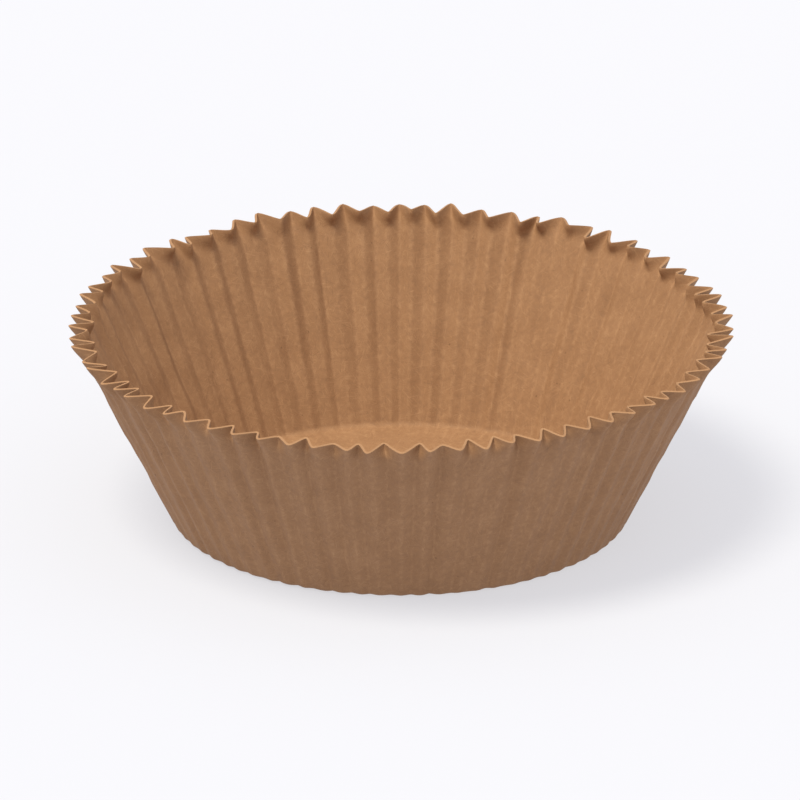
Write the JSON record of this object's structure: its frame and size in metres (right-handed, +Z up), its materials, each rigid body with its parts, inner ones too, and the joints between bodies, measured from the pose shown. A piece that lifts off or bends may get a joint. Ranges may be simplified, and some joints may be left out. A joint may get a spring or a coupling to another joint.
{
  "type": "cupcake liner",
  "caption": "Round fluted baking cup of brown paper: flat base, flared wall of fine pleats, open top with a frilled zigzag rim.",
  "frame": {"origin": "middle of the underside of the flat base", "axes": "+Z up along the cup's axis, out of the open mouth; +X through the crest of a flute"},
  "size_m": [0.0732, 0.0732, 0.022],
  "materials": {
    "paper": "matte unbleached brown baking paper with fine fibres and pressed flutes"
  },
  "bodies": {
    "root": {"liner": "paper"}
  },
  "joints": []
}
